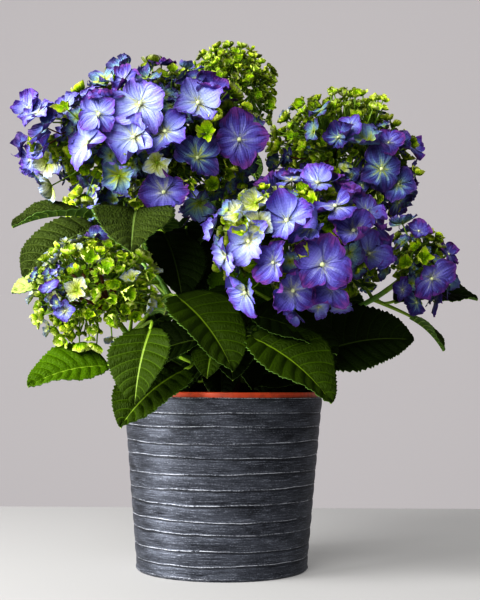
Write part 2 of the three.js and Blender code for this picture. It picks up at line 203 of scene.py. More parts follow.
camera_place = (0, -0.970, 0.1592)
camera_turns = ((-0.82, "Z"), (94.14, "X"), (0.4, "Z"))  # its heading, tilt and roll, in degrees
camera = put_in("camera", bpy.data.cameras.new("camera"))
camera.data.lens = 67.1
camera.data.sensor_width = 36
aim = Matrix()
for angle, axis in camera_turns:
    aim = aim @ Matrix.Rotation(radians(angle), 4, axis)
camera.matrix_world = Matrix.Translation(camera_place) @ aim
scene.camera = camera


# ---- Zinc pot ----
# A tapering pot of thin zinc sheet, darkened to slate. Rolled bands end in thin wavy ridges, which are
# rubbed pale and carry a painted highlight, with painted shade in the groove under each. Its rim is
# folded over, and a roll with a painted highlight goes round its flat foot.
class Heap:
    """Points and four-sided faces for one mesh, and the finish of each face. A point's chart is its
    place on its leaf or petal laid flat."""

    def __init__(self):
        self.points = []
        self.faces = []
        self.finishes = []
        self.charts = []
        self.count = 0

    def add(self, points, faces, finish=0, chart=None):
        points = np.reshape(points, (-1, 3))
        faces = np.reshape(faces, (-1, 4))
        self.points.append(points)
        self.faces.append(faces + self.count)
        self.finishes.append(np.broadcast_to(finish, len(faces)))
        self.charts.append(np.zeros(points.shape) if chart is None else np.reshape(chart, (-1, 3)))
        self.count += len(points)

    def add_rings(self, points, finish=0, chart=None):
        """A closed body over rings of points, which run anticlockwise about the way ahead."""
        points = np.asarray(points)
        rings, sides = points.shape[:2]
        last_ring = (rings - 1) * sides
        skin = grid_faces(rings, sides, around=True)
        ends = [end_faces(sides), end_faces(sides)[:, ::-1] + last_ring]
        finish = np.broadcast_to(finish, len(skin))
        finishes = [finish] + [np.full(len(end), one) for end, one in zip(ends, finish[[0, -1]])]
        self.add(points, np.concatenate([skin, *ends]), np.concatenate(finishes), chart)


def grid_faces(rows, columns, around=False):
    """Faces between rows of points. around joins the last column to the first."""
    row, column = np.indices((rows - 1, columns - (not around)))
    here = row * columns + column
    beside = row * columns + (column + 1) % columns
    return np.stack([here, beside, beside + columns, here + columns], -1).reshape(-1, 4)


def end_faces(count):
    """Faces that close the first of some rings, which has an even count of points."""
    steps = np.arange(count // 2 - 1)
    return np.stack([count - 1 - steps, count - 2 - steps, steps + 1, steps], -1)


def piece(name, heap, looks, nodes):
    """The heap as one piece of the object, in place of the frame's nodes."""
    mesh = bpy.data.meshes.new(name)
    faces = np.concatenate(heap.faces)
    mesh.from_pydata((np.concatenate(heap.points) * MM).tolist(), [], faces.tolist())
    used, finish = np.unique(np.concatenate(heap.finishes), return_inverse=True)
    for number in used:
        mesh.materials.append(looks[number].material)
    mesh.polygons.foreach_set("material_index", finish.astype(np.int32))
    mesh.polygons.foreach_set("use_smooth", np.ones(len(faces), bool))
    charts = np.concatenate(heap.charts)
    if charts.any():
        mesh.attributes.new("chart", "FLOAT_VECTOR", "POINT").data.foreach_set("vector", charts.ravel())
    made = put_in(name, mesh)
    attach(made, "root")
    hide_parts(*nodes)
    return made


def angles_round(sides):
    return np.arange(sides) * 2 * pi / sides


def turned(rings, sides):
    """Rings of points about the vertical axis. A ring's radius and height may vary round it."""
    angles = angles_round(sides)
    radius, height = np.swapaxes([np.broadcast_arrays(r, h, angles)[:2] for r, h in rings], 0, 1)
    return np.stack([radius * np.cos(angles), radius * np.sin(angles), height], -1)


def box_of(node):
    return [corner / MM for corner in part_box(node)]


pot_high = box_of("zinc_pot")[1]
pot_height = pot_high.z
ridge_height = 0.9
rim_radius = pot_high.x - ridge_height
foot_radius = 0.847 * rim_radius
bands = 12
pot_sides = 192
turn = angles_round(pot_sides)
chance = np.random.default_rng(31)


def wave(cycles, reach):
    """A smooth random line round the pot."""
    line = 0
    for n in cycles:
        swing = np.sin(n * turn + chance.uniform(0, 2 * pi))
        line = line + swing * chance.uniform(0.4, 1) / n ** 0.7
    return reach * line


# The heights of the ridges, with the foot and the rim at the ends.
ridge_lines = [np.zeros(pot_sides)]
for band in range(1, bands):
    level = pot_height * band / bands + chance.uniform(-0.8, 0.8)
    ridge_lines.append(level + wave((1, 2, 3, 5, 9, 14, 23), 0.95))
ridge_lines.append(np.full(pot_sides, pot_height))

# Shares of a band's height, closer together at its ridges.
band_steps = (0, 0.035, 0.075, 0.13, 0.22, 0.36, 0.5, 0.66, 0.8, 0.9, 0.945, 0.975)
ridge_half = 0.45  # half the height of a ridge
groove_half = 0.7  # half the height of the groove under it
groove_drop = 1
foot_roll = 1.2  # how far the roll round the foot stands out
roll_level = 2
roll_half = 1
wall_rings = []
rub = []
for band in range(bands):
    strength = np.clip(0.7 + wave((2, 5, 9, 17, 31), 0.5), 0.1, 1.25)
    bulge = 0.55 + wave((1, 2), 0.12)
    for step in band_steps:
        height = ridge_lines[band] * (1 - step) + ridge_lines[band + 1] * step
        gap = step * pot_height / bands if step < 0.5 else (step - 1) * pot_height / bands
        groove = np.exp(-((gap + groove_drop) / groove_half) ** 2)
        ridge = np.exp(-(gap / ridge_half) ** 2) - 0.5 * groove
        cone = foot_radius + (rim_radius - foot_radius) * height / pot_height
        swell = bulge * sin(pi * step)
        roll = np.exp(-((height - roll_level) / roll_half) ** 2)
        proud = 0.7 * ridge_height * strength * ridge + foot_roll * roll
        wall_rings.append((cone + swell + proud, height))
        # the mask is pale on the ridges, from wear and a painted highlight; below 0 in the groove under
        # each ridge, where it paints shade; and pale on the roll round the foot, a painted highlight
        rub.append(ridge * strength + 0.5 * roll * strength)

# The folded rim, the inside of the wall and the floor.
inner_radius = rim_radius - 1.4
for radius, height in (
    (rim_radius + 0.7, pot_height - 0.9),
    (rim_radius + 0.8, pot_height - 0.3),
    (rim_radius + 0.3, pot_height),
    (rim_radius - 0.7, pot_height - 0.1),
    (inner_radius, pot_height - 0.8),
    (inner_radius - 1, pot_height - 12),
    (foot_radius - 1.2, 2),
    (1, 2),
):
    wall_rings.append((radius, height))
    # the top of the folded rim is paler in this mask
    rub.append(np.full(pot_sides, 0.5 * (height > pot_height - 1)))
wall_rings[0] = (foot_radius, 0.15)
foot_rings = [(1, 0), (foot_radius - 0.8, 0)]
rub = [np.zeros(pot_sides)] * len(foot_rings) + rub

zinc = Look("zinc_slate", "2b2d34", 0.4)
brushed = zinc.noise(14, 6, 0.68, (1, 1, 0.05))
cloud = zinc.noise(30, 4, 0.6, (1, 1, 0.4))
speck = zinc.noise(0.8, 2, 0.6, (1.6, 1.6, 0.8))
# the mask of wear, painted highlight and painted shade that the pot's rings carry
edge = zinc.node("Attribute", {"attribute_name": "rub"}, {}, "Fac")
worn = brushed * 0.45 + cloud * 0.3 + speck * 0.25
coat = zinc.mix(zinc.between(worn, 0.39, 0.64), "2a2c32", "686c76")
coat = zinc.mix(zinc.between(brushed * 0.6 + speck * 0.4, 0.54, 0.66) * 0.6, coat, "a6aab4")
# painted shade: the groove under each ridge is darkened to near black
coat = zinc.mix(zinc.between(edge * -1, 0.05, 0.3) * 0.55, coat, "0d0e10")
# wear and a painted highlight: the ridges, the rim's top and the roll round the foot turn pale and less
# metallic
wear_and_highlight = zinc.between(edge * (0.25 + 1.4 * zinc.between(speck + brushed, 0.85, 1.15)), 0.2, 0.9)
metal = zinc.mix(wear_and_highlight * 0.85, coat, "c6c9d0")
zinc.vary(**{"Base Color": metal}, Roughness=0.4 + brushed * 0.25, Metallic=0.7 + wear_and_highlight * -0.3)
zinc.relief(brushed * 0.5 + speck * 0.5, 0.2)

pot = Heap()
pot.add_rings(turned(foot_rings + wall_rings, pot_sides))
zinc_piece = piece("zinc_pot_shell", pot, [zinc], ["zinc_pot"])
wear_highlight_and_shade_mark = zinc_piece.data.attributes.new("rub", "FLOAT", "POINT")
wear_highlight_and_shade_mark.data.foreach_set("value", np.array(rub, np.float32).ravel())


# ---- Nursery pot ----
# The terracotta-coloured plastic pot that the plant was grown in. It stands inside the zinc pot, and
# its rounded rim shows just above it.
nursery_low, nursery_high = box_of("nursery_pot")
lip = nursery_high.x
foot = nursery_low.z
top = nursery_high.z
nursery_profile = (
    (1, foot), (60, foot), (lip - 1.9, top - 10), (lip - 0.3, top - 9.4), (lip, top - 8.6),
    (lip, top - 1), (lip - 0.3, top - 0.3), (lip - 1, top), (lip - 2.2, top), (lip - 3, top - 0.4),
    (lip - 3.2, top - 1.2), (lip - 3.4, top - 9), (59.2, foot + 2), (1, foot + 2),
)
terracotta = Look("terracotta_plastic", "e2603c", 0.42)
dust = terracotta.noise(6, 4)
terracotta.mottle(dust, 0.45, 0.8, "e4623e", "b8543a")
terracotta.vary(Roughness=0.34 + dust * 0.25)
terracotta.relief(dust, 0.15)
nursery = Heap()
nursery.add_rings(turned(nursery_profile, 192))
piece("nursery_pot_shell", nursery, [terracotta], ["nursery_pot"])


# ---- Peat ----
# Dark moist potting mix with a lumpy top, heaped a little at the stem, and loose crumbs of peat and
# bark on it.
peat_low, peat_high = box_of("peat")
peat_radius = peat_high.x
peat_top = peat_high.z
peat_sides = 120
peat_steps = 26
crumb_count = 900


def ground_at(radius, x, y):
    """The height of the peat's top."""
    lumps = (
        1.1 * np.sin(0.21 * x + 1.3) * np.sin(0.17 * y + 0.4)
        + 0.7 * np.sin(0.53 * x + 0.31 * y)
        + 0.5 * np.sin(0.9 * y - 0.6 * x + 2)
    )
    return peat_top - 5.5 + 4.5 * (1 - radius / peat_radius) + 0.8 * lumps


peat_turn = angles_round(peat_sides)
peat_rings = [(1, peat_low.z), (57, peat_low.z), (peat_radius, peat_top - 6)]
for step in range(peat_steps):
    radius = peat_radius - 0.4 - (peat_radius - 2) * step / peat_steps
    ground = ground_at(radius, radius * np.cos(peat_turn), radius * np.sin(peat_turn))
    peat_rings.append((radius, ground))
peat = Heap()
peat.add_rings(turned(peat_rings, peat_sides))

# A crumb is a cube whose corners are pushed about at random.
cube_points = np.array([(x, y, z) for x in (-1, 1) for y in (-1, 1) for z in (-1, 1)], float)
cube_faces = np.array(
    [(0, 1, 3, 2), (4, 6, 7, 5), (0, 4, 5, 1), (2, 3, 7, 6), (0, 2, 6, 4), (1, 5, 7, 3)]
)
for crumb in range(crumb_count):
    radius = (peat_radius - 4) * sqrt(chance.uniform(0.03, 1))
    angle = chance.uniform(0, 2 * pi)
    x = radius * cos(angle)
    y = radius * sin(angle)
    size = chance.uniform(0.5, 1.7) * (1, 1, 0.6)[crumb % 3]
    shape = cube_points * size * chance.uniform(0.45, 1.1, (8, 3)) * (1.5, 1, 0.7)
    spin = Matrix.Rotation(chance.uniform(0, 2 * pi), 3, "Z")
    spot = (x, y, ground_at(radius, x, y) + 0.2)
    peat.add(shape @ np.array(spin) + spot, cube_faces, 1 + (crumb % 9 == 0))

soil = Look("peat_dark", "1c130d", 0.95)
damp = soil.noise(5, 6, 0.7)
soil.mottle(damp, 0.35, 0.7, "120c08", "33241a")
soil.relief(soil.noise(1.6, 6, 0.75), 1.2)
crumbs = Look("peat_crumb", "2b1d13", 0.95)
crumbs.relief(crumbs.noise(0.6, 4), 0.4)
bark_chip = Look("bark_chip", "5a4430", 0.9)
bark_chip.relief(bark_chip.noise(0.6, 4), 0.4)
piece("peat_top", peat, [soil, crumbs, bark_chip], ["peat"])


# ---- Woody stem and shoots ----
# A short stub of old wood with a flare at the peat and a knuckle on top. Nine green shoots grow from
# it, each straight up at first and then over to the seat under its bloom, with low swellings along it.
def unit(vector):
    return np.array(vector) / norm(vector)


# Each bloom's centre, half widths and lean, how much of its shoot is bare, and how its leaves turn.
blooms = {}
for name, centre, half, lean, bare, turned_by in (
    ("left", (-69, -40, 360), (108, 82, 71), (0.05, -0.55, 1), 0.3, 70),
    ("upper_right", (110, 26, 356), (72, 64, 70), (0.35, -0.35, 1), 0.3, 100),
    ("right", (164, -26, 256), (35, 36, 42), (0.8, -0.5, 0.6), 0.3, 60),
    ("front", (55, -93, 268), (84, 66, 62), (0.1, -0.85, 0.8), 0.3, 0),
    ("low_left", (-102, -84, 231), (54, 50, 46), (-0.5, -0.7, 0.75), 0.3, 60),
    ("back_left", (-103, 96, 316), (55, 54, 50), (-0.5, 0.55, 0.9), 0.3, 10),
    ("back", (9, 138, 322), (55, 54, 52), (0.05, 0.7, 0.85), 0.3, 50),
    ("back_right", (107, 118, 282), (52, 50, 48), (0.6, 0.55, 0.75), 0.3, 0),
    ("top", (4, 48, 424), (46, 46, 50), (0.05, 0.1, 1), 0.25, 20),
):
    blooms[name] = dict(centre=np.array(centre, float), half=np.array(half, float))
    blooms[name].update(lean=unit(lean), bare=bare, turn=turned_by)

stem_low, stem_high = box_of("woody_stem")
ring_radius = 11.5  # of the ring of shoots on the knuckle
shoot_radii = (3.1, 2.2)  # at the root and at the bloom
seat_share = 0.94  # how far under a bloom's centre its shoot ends, over its reach
straight_share = 0.22
bend_share = 0.36
shoot_steps = 64
shoot_sides = 10
swellings = 7


def reach_of(bloom, ahead):
    """How far a bloom reaches from its centre in a direction."""
    return 1 / norm(ahead / bloom["half"])


def along_curve(curve, share):
    """The point at a share of a curve that four points draw."""
    t = np.asarray(share, float)[..., None]
    start, first, second, end = curve
    return (
        start * (1 - t) ** 3 + 3 * first * t * (1 - t) ** 2 + 3 * second * t * t * (1 - t) + end * t ** 3
    )


def compass(name):
    return atan2(blooms[name]["centre"][1], blooms[name]["centre"][0])


# The top bloom's shoot grows from the middle of the knuckle. The others ring it, in compass order.
shoots = {}
around_knuckle = sorted((name for name in blooms if name != "top"), key=compass)
for name, bloom in blooms.items():
    angle = compass(around_knuckle[0])
    out = 0
    if name != "top":
        angle += 2 * pi * around_knuckle.index(name) / len(around_knuckle)
        out = ring_radius
    root = np.array([out * cos(angle), out * sin(angle), stem_high.z + 0.3])
    seat = bloom["centre"] - bloom["lean"] * seat_share * reach_of(bloom, bloom["lean"])
    reach = norm(seat - root)
    rise = root + np.array([0, 0, straight_share * reach])
    shoots[name] = (root, rise, seat - bloom["lean"] * bend_share * reach, seat)


def add_tube(heap, path, radii, sides, finish=0):
    """A closed round limb along a path of points."""
    ahead = np.gradient(np.asarray(path, float), axis=0)
    ahead /= norm(ahead, axis=1)[:, None]
    angles = angles_round(sides)[:, None]
    side = np.array([0.31, 0.95, 0.07])
    rings = []
    for middle, way, radius in zip(path, ahead, np.broadcast_to(radii, len(path))):
        side = unit(side - side @ way * way)
        rings.append(middle + radius * (np.cos(angles) * side + np.sin(angles) * np.cross(way, side)))
    heap.add_rings(rings, finish)


stub = Heap()
stub_sides = 72
stub_turn = angles_round(stub_sides)
furrows = 0.35 * np.sin(9 * stub_turn + 1) + 0.3 * np.sin(14 * stub_turn) + 0.25 * np.sin(23 * stub_turn)
stub_rings = []
for share in np.linspace(0, 1, 22):
    girth = np.interp(share, (0, 0.35, 0.8, 0.94, 1), (17, 12, 15.5, 15, 12.5))
    twist = np.roll(furrows, int(4 * share))
    knobs = 0.5 * np.sin(5 * stub_turn + 7 * share) * share
    stub_rings.append((girth - 0.6 + twist + knobs, stem_low.z + share * (stem_high.z - stem_low.z)))
stub_rings = [(0.5, stem_low.z), *stub_rings, (6, stem_high.z), (0.5, stem_high.z)]
stub.add_rings(turned(stub_rings, stub_sides))
bark = Look("bark", "5d4a36", 0.9)
fissure = bark.noise(2.2, 5, 0.7, (1, 1, 4))
bark.mottle(fissure, 0.35, 0.65, "3a2c1f", "7d6850")
bark.relief(fissure, 1.2)
piece("woody_stem_bark", stub, [bark], ["woody_stem"])

limbs = Heap()
for name, curve in shoots.items():
    shares = np.linspace(0, 1, shoot_steps)
    swelling = 0.5 * np.exp(-((shares * swellings % 1 - 0.5) / 0.09) ** 2)
    radii = shoot_radii[0] + (shoot_radii[1] - shoot_radii[0]) * shares + swelling
    radii[0] += 0.6
    path = along_curve(curve, shares)
    path[0, 2] -= 3
    still_green = np.repeat(shares[1:] > 0.3, shoot_sides).astype(int)
    add_tube(limbs, path, radii, shoot_sides, still_green)
old_shoot = Look("shoot_ripe", "5f6b34", 0.6)
flecks = old_shoot.noise(1.1, 4, 0.7, (1, 1, 2.5))
old_shoot.mottle(flecks, 0.45, 0.7, "66763a", "5a4530")
old_shoot.relief(flecks, 0.3)
new_shoot = Look("shoot_green", "6f9a3c", 0.45)
dashes = new_shoot.noise(0.9, stretch=(1, 1, 3))
new_shoot.mottle(dashes, 0.58, 0.7, "6f9a3c", "6c4a40")
new_shoot.relief(dashes, 0.2)
piece("shoots", limbs, [old_shoot, new_shoot], ["shoot_" + name for name in blooms])


# ---- Leaves ----
# Broad ovate leaves with saw-toothed edges, quilted between curved side veins, on short stalks. They
# stand in pairs up each shoot, each pair turned a quarter from the last, where there is room.
leaf_wide = 0.76  # over its length
leaf_fold = radians(14)
leaf_sag = radians(34)
blade_thickness = 0.45
first_pair = 0.06  # over the bare share of the shoot
last_pair = 0.92
pairs = dict(spacing=25, length=78, shorter=0.05, stalk=24, rise=30, pitch=-40, lift=9, tries=40)

# The leaves that face the front, by shoot: foot, heading, pitch, roll, length and the shade of green.
# The deep shade is a darker copy of the green, which paints shade.
front_leaves = {
    "left": [
        ((-108, -64, 293), -150, -12, -12, 70, "grey"),
        ((-110, -14, 290), -160, -36, -30, 78, "grey"),
        ((-72, -72, 296), -88, -31, 0, 82, "grey"),
        ((-51, -38, 283), -62, -58, 0, 70, "deep"),
        ((-122, -4, 240), -174, -6, -35, 62, "pale"),
    ],
    "low_left": [
        ((-90, -90, 170), -156, -14, -30, 67, "bright"),
        ((-56, -114, 199), -112, -66, 0, 64, "mid"),
        ((-30, -88, 168), -141, -36, -22, 76, "mid"),
        ((-18, -80, 192), 176, -22, -42, 60, "deep"),
        ((-38, -84, 226), -38, -46, 18, 84, "mid"),
    ],
    "front": [
        ((20, -92, 194), -28, -36, 26, 88, "mid"),
        ((22, -68, 212), -14, -24, 32, 78, "deep"),
        ((4, -54, 195), -86, -38, 0, 58, "deep"),
        ((6, -46, 238), -96, -62, 0, 58, "deep"),
        ((-7, -80, 190), -104, -50, 0, 38, "mid"),
    ],
    "right": [
        ((72, -48, 179), 6, 10, 56, 90, "deep"),
        ((154, 38, 232), 2, 2, 28, 78, "deep"),
        ((162, -4, 216), -18, -46, 0, 42, "mid"),
    ],
}


def ovate(share):
    """The half width of a blade over its greatest, by share of its length."""
    return np.sin(pi * np.clip(share, 0, 1) ** 0.8) ** 0.8


def blade_points(leaf, share, across, lift=0.0, extra=0.0):
    """Points of a blade, by share of its length and from -1 to 1 between its edges. lift is the
    height over its sheet, and extra widens it. The midrib is an arc about the leaf's pitch."""
    heading, roll, middle_pitch = (radians(leaf[k]) for k in ("heading", "roll", "pitch"))
    first = middle_pitch + leaf_sag / 2
    pitch = first - leaf_sag * share
    out = leaf["length"] * (sin(first) - np.sin(pitch)) / leaf_sag
    up = leaf["length"] * (np.cos(pitch) - cos(first)) / leaf_sag
    bearing = np.array([cos(heading), sin(heading), 0])
    level = np.array([-sin(heading), cos(heading), 0])
    above = np.array([0, 0, 1])
    ahead = np.cos(pitch)[..., None] * bearing + np.sin(pitch)[..., None] * above
    side = cos(roll) * level + sin(roll) * np.cross(ahead, level)
    normal = np.cross(ahead, side)
    half = 0.5 * leaf_wide * leaf["length"] * ovate(share) * across + extra
    return (
        leaf["foot"]
        + out[..., None] * bearing
        + up[..., None] * above
        + (half * cos(leaf_fold))[..., None] * side
        + (np.abs(half) * sin(leaf_fold) + lift)[..., None] * normal
    )


def leaf_at(foot, heading, pitch, roll, length, **more):
    foot = np.array(foot, float)
    return dict(foot=foot, heading=heading, pitch=pitch, roll=roll, length=length, **more)


def leaf_samples(name, leaf):
    """Points over a leaf's blade, and those with more along its stalk."""
    share, across = np.meshgrid(np.arange(9) / 8, np.arange(-3, 4) / 3, indexing="ij")
    blade = blade_points(leaf, share, across).reshape(-1, 3)
    root = along_curve(shoots[name], leaf["node"])
    stalk = [root + (leaf["foot"] - root) * share for share in (0.4, 0.6, 0.8)]
    return blade, np.concatenate([blade, stalk])


shoot_samples = {name: along_curve(curve, np.arange(41) / 40) for name, curve in shoots.items()}
clear_radius = 90  # a leaf is this far out, or over this height, to clear the pots
clear_height = 143.3
bloom_clearance = 1.08  # over the bloom's half widths
shoot_clearance = 6
leaf_clearance = 5


def apart(some, others, distance):
    gaps = some[:, None] - others
    return (np.einsum("ijk,ijk->ij", gaps, gaps) > distance ** 2).all()


def has_room(owner, leaf):
    """Whether a leaf is clear of the pots, blooms, shoots and other leaves."""
    blade, whole = leaf_samples(owner, leaf)
    beside_pot = np.hypot(whole[:, 0], whole[:, 1]) > clear_radius
    if not (beside_pot | (whole[:, 2] > clear_height)).all():
        return False
    for bloom in blooms.values():
        spread = norm((whole - bloom["centre"]) / bloom["half"], axis=1)
        if (spread <= bloom_clearance).any():
            return False
    for name, samples in shoot_samples.items():
        if not apart(blade if name == owner else whole, samples, shoot_clearance):
            return False
    return all(apart(whole, other, leaf_clearance) for other in placed)


def nearest_node(name, foot):
    """The share of a shoot that a blade's foot is best reached from, which is not above it."""
    shares = np.linspace(blooms[name]["bare"] + first_pair, last_pair, 9)
    roots = along_curve(shoots[name], shares)
    cost = norm(roots - foot, axis=1) + np.maximum(0, roots[:, 2] - foot[2])
    return shares[np.argmin(cost)]


def seeded(seed):
    """The same stream of numbers from 0 to 1 for the same seed."""
    state = seed
    while True:
        state = state * 48271 % 2147483647
        yield state / 2147483647


def seeded_leaf(name, node, pair, turned_to, attempt, draw):
    """One try at a leaf: the later the try, the looser its turn and droop and the smaller it is."""
    loose = 1 + attempt / 4
    heading = turned_to + (next(draw) - 0.5) * 24 * loose
    reach = pairs["stalk"] * (0.8 + 0.6 * next(draw))
    rise = radians(pairs["rise"])
    bearing = radians(heading)
    step = (cos(bearing) * cos(rise), sin(bearing) * cos(rise), sin(rise))
    pitch = pairs["pitch"] + pairs["lift"] * pair + (next(draw) - 0.5) * 20 * loose
    roll = (next(draw) - 0.5) * 24
    size = (1 - pairs["shorter"] * pair) * (0.95 + 0.15 * next(draw) - 0.06 * loose)
    foot = along_curve(shoots[name], node) + reach * np.array(step)
    return leaf_at(foot, heading, pitch, roll, pairs["length"] * size, node=node)


leaves = {name: [] for name in blooms}
placed = []


def place_leaf(name, leaf):
    leaves[name].append(leaf)
    placed.append(leaf_samples(name, leaf)[1])


for name, own_leaves in front_leaves.items():
    for *measures, shade in own_leaves:
        node = nearest_node(name, measures[0])
        place_leaf(name, leaf_at(*measures, shade=shade, node=node))

# A shoot that has leaves on the front keeps its seeded ones to the sides and back.
for number, (name, bloom) in enumerate(blooms.items()):
    draw = seeded(7001 + 131 * number)
    steps = np.diff(along_curve(shoots[name], np.arange(201) / 200), axis=0)
    length = norm(steps, axis=1).sum()
    count = round(length * (last_pair - bloom["bare"]) / pairs["spacing"])
    nodes = np.linspace(bloom["bare"] + first_pair, last_pair, count)
    for pair, node in enumerate(nodes):
        for opposite in (0, 180):
            for attempt in range(pairs["tries"]):
                turned_to = bloom["turn"] + 90 * pair + opposite
                leaf = seeded_leaf(name, node, pair, turned_to, attempt, draw)
                faces_front = name in front_leaves and sin(radians(leaf["heading"])) < -0.1
                if not faces_front and has_room(name, leaf):
                    place_leaf(name, leaf)
                    break

# The fine blade is a closed sheet over rings across the leaf, which follow its side veins.
veins = 9
vein_steps = (0.045, 0.18, 0.39, 0.61, 0.82, 0.955)
rows = np.array([0, *(((i + q) / veins) for i in range(veins) for q in vein_steps), 1])
half_columns = np.array([1, 0.93, 0.78, 0.6, 0.42, 0.25, 0.1, 0])
column = np.concatenate([half_columns, half_columns[::-1]])
column_side = np.repeat([1, -1], len(half_columns))
between_rows = (rows[1:] + rows[:-1]) / 2 * veins
in_vein = np.abs(between_rows - np.round(between_rows)) < 0.04  # the rows of faces on a side vein

# Each shade's blade, side veins and midrib, and how deep its puckers are.
leaf_shades = {
    # the deep green is a darker copy of the leaf green, which paints shade
    "deep": ("1d2b03", "293a06", "4b5f13", 0.6),
    "mid": ("2e3f02", "3f5405", "708818", 0.6),
    "bright": ("486404", "56760a", "7e982a", 0.6),
    "grey": ("3f4c1d", "4c5a23", "748945", 1.4),
    "pale": ("b0c070", "b8c87c", "c4d090", 0.6),
}


def add_leaf(heap, leaf, curve, shade):
    """A leaf's blade and stalk. Its finishes are its shade's blade, side veins and midrib, the
    blade and veins of the underside, and the stalk's."""
    top = 3 * list(leaf_shades).index(shade)
    under = 3 * len(leaf_shades)
    stalk = under + 2
    length = leaf["length"]
    wide = 0.5 * leaf_wide * length
    t = rows[:, None]
    share = t + 0.7 * t * (1 - t) * column ** 1.2
    rib = 1.15 - 0.8 * t
    tooth = np.where(np.arange(len(rows)) % 2, 1.0, -0.4)[:, None] * (column == 1)
    tooth = tooth * (t > 0.02) * (t < 0.99) * 0.016 * length * (1.6 - 1.2 * t)
    edge = wide * ovate(share) * column
    outline = edge + np.maximum(tooth, -0.3 * edge)
    extra = column_side * (rib + outline) - edge * column_side
    quilt = np.abs(np.sin(pi * veins * t)) ** 0.7 * np.minimum(1, column * 5)
    quilt = quilt * (1 - 0.6 * column ** 3)
    waves = np.sin(leaf["heading"] + 9 * t + 1.5 * column_side) * column ** 2 * 0.03
    lift = length * (0.03 * quilt + waves * np.sin(pi * t)) - 0.5 * (column == 0)
    keel = (column == 0) * (1.4 - 1.1 * t) + 0.35 * (quilt < 0.3)
    across = column * column_side
    upper = blade_points(leaf, share, across, lift, extra)
    lower = blade_points(leaf, share, across, lift - blade_thickness - keel, extra)
    middle = len(half_columns) - 1
    finish = np.full((len(rows) - 1, 2 * len(column)), under)
    finish[:, :len(column) - 1] = top
    finish[in_vein, :len(column) - 1] = top + 1
    finish[in_vein, len(column):] = under + 1
    finish[:, middle] = top + 2
    finish[:, 2 * len(column) - 2 - middle] = under + 1
    flat = np.stack(np.broadcast_arrays(length * t, wide * across, leaf["foot"].sum()), -1)
    chart = np.concatenate([flat, flat[:, ::-1]], 1)
    heap.add_rings(np.concatenate([upper, lower[:, ::-1]], 1), finish.ravel(), chart)
    root = along_curve(curve, leaf["node"])
    start = blade_points(leaf, np.array([0.0, 0.03]), np.zeros(2))
    inward = unit(start[0] - start[1])
    foot = leaf["foot"]
    reach = norm(foot - root)
    bend = (root, root + (foot - root) * 0.4, foot + inward * 0.3 * reach, foot - inward)
    shares = np.linspace(0, 1, 9)
    add_tube(heap, along_curve(bend, shares), 2.1 - 0.85 * shares ** 0.5, 8, stalk)


def leaf_look(name, colour, roughness, depth, sheen=0.5):
    """A leaf's skin, puckered into small cells between its finest veins."""
    look = Look(name, colour, roughness, sheen)
    wander = look.noise(4, 2, where=look.chart())
    cell_size = {"Vector": look.chart((3.4, 2.6, 1)), "Scale": 1}
    cells = look.node("TexVoronoi", {"feature": "DISTANCE_TO_EDGE"}, cell_size)
    pucker = look.between(cells, 0, 0.45) ** 0.7
    look.vary(Roughness=roughness - 0.06 + 0.2 * wander)
    look.relief(pucker * 0.75 + wander * 0.5, depth)
    return look


leaf_looks = []
for shade, (green, vein, midrib, depth) in leaf_shades.items():
    leaf_looks += [
        leaf_look("leaf_" + shade, green, 0.55, depth, 0.1),
        leaf_look("vein_" + shade, vein, 0.55, 0.1, 0.1),
        leaf_look("midrib_" + shade, midrib, 0.5, 0.1),
    ]
leaf_looks += [
    leaf_look("leaf_under", "5c7d30", 0.6, 0.25),
    leaf_look("vein_under", "a8c454", 0.5, 0.1),
    leaf_look("leaf_stalk", "9abb3a", 0.45, 0.1),
]

# Old leaves in the shade, most of them round the knuckle over the pot, in the deep green that paints
# shade: foot, heading, pitch, roll, length and the share of its shoot where the stalk starts.
inner_leaves = (
    ((-10, -19, 177), -118, -30, 10, 46, 0.03), ((9, -19, 177), -66, -34, -14, 44, 0.03),
    ((-1, -21, 173), -92, -52, 6, 40, 0.03), ((18, -10, 165), -30, -8, 42, 58, 0.03),
    ((21, -3, 160), -8, 0, 56, 70, 0.03), ((20, 5, 158), 14, 2, 62, 76, 0.03),
    ((-18, 10, 160), 150, 4, -58, 72, 0.03), ((-21, 4, 158), 170, 2, -60, 76, 0.03),
    ((-46, 24, 158), -4, 0, 62, 64, 0.03), ((50, 28, 158), 184, 0, -62, 66, 0.03),
    ((-12, 18, 304), -100, -70, 0, 72, 0.6), ((-34, 6, 292), -70, -66, 0, 66, 0.6),
)
inner = Heap()
for *measures, node in inner_leaves:
    gaps = [norm(along_curve(curve, node) - measures[0]) for curve in shoots.values()]
    nearest = list(shoots.values())[np.argmin(gaps)]
    add_leaf(inner, leaf_at(*measures, node=node), nearest, "deep")
piece("inner_leaves", inner, leaf_looks, [])

# The seeded leaves take these shades in turn. The deep one is a darker copy of the green, which paints
# shade.
dealt_shades = ("deep", "mid", "mid", "deep", "grey", "bright")
for number, name in enumerate(blooms):
    heap = Heap()
    for i, leaf in enumerate(leaves[name]):
        shade = leaf.get("shade") or dealt_shades[(5 * number + i) % len(dealt_shades)]
        add_leaf(heap, leaf, shoots[name], shade)
    piece("leaves_" + name + "_fine", heap, leaf_looks, ["leaves_" + name])


